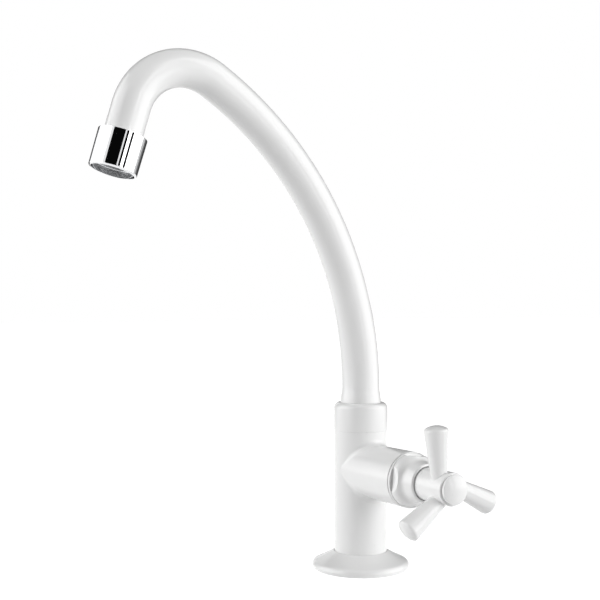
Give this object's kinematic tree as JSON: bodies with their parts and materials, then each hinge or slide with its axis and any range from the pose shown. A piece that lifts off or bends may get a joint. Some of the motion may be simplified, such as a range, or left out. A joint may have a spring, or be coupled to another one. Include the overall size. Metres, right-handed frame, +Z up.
{
  "type": "kitchen tap",
  "caption": "Swan-neck kitchen tap for a worktop hole, with a swivelling spout, a side branch with a quarter-turn valve, and a handle of tapered arms.",
  "frame": {"origin": "centre of the tap's foot, on the worktop's top face and on the column's axis", "axes": "+Z up along the column, +X out along the valve branch, -Y the way the spout points at rest"},
  "size_m": [0.1085, 0.1822, 0.3143],
  "materials": {
    "white_plastic": "glossy moulded white",
    "chrome": "polished chrome",
    "rubber": "matt black rubber",
    "grey_plastic": "satin grey",
    "nylon": "natural, slightly waxy",
    "ceramic": "lapped ceramic",
    "brass": "turned",
    "steel": "plain stainless"
  },
  "bodies": {
    "tap": {"tap_body": "white_plastic", "base_flange": "white_plastic", "deck_gasket": "rubber", "inlet_shank": "white_plastic", "clamp_gasket": "rubber", "clamp_washer": "steel", "clamp_nut": "grey_plastic", "spout_collar": "white_plastic", "slip_washer": "nylon", "bonnet_seal": "rubber", "valve_bonnet": "white_plastic", "seat_gasket": "rubber", "fixed_disc": "ceramic", "spindle_washer": "nylon"},
    "spout": {"spout_tube": "white_plastic", "spout_stem": "white_plastic", "stem_oring_lower": "rubber", "stem_oring_upper": "rubber", "thrust_ring": "nylon", "outlet_adaptor": "white_plastic", "aerator_housing": "chrome", "aerator_gasket": "rubber", "aerator_insert": "grey_plastic", "aerator_screen": "steel"},
    "valve_handle": {"handle": "white_plastic", "handle_cap": "white_plastic", "handle_screw": "steel", "spindle": "brass", "spindle_oring_inner": "rubber", "spindle_oring_outer": "rubber", "moving_disc": "ceramic", "spindle_clip": "steel"}
  },
  "joints": [
    {"name": "spout_swivel", "type": "hinge", "parent": "tap", "child": "spout", "pos_m": [0, 0, 0.0737], "axis": [0, 0, 1], "continuous": true},
    {"name": "handle_turn", "type": "hinge", "parent": "tap", "child": "valve_handle", "pos_m": [0.0719, 0, 0.053], "axis": [1, 0, 0], "range_deg": [0, 90]}
  ]
}
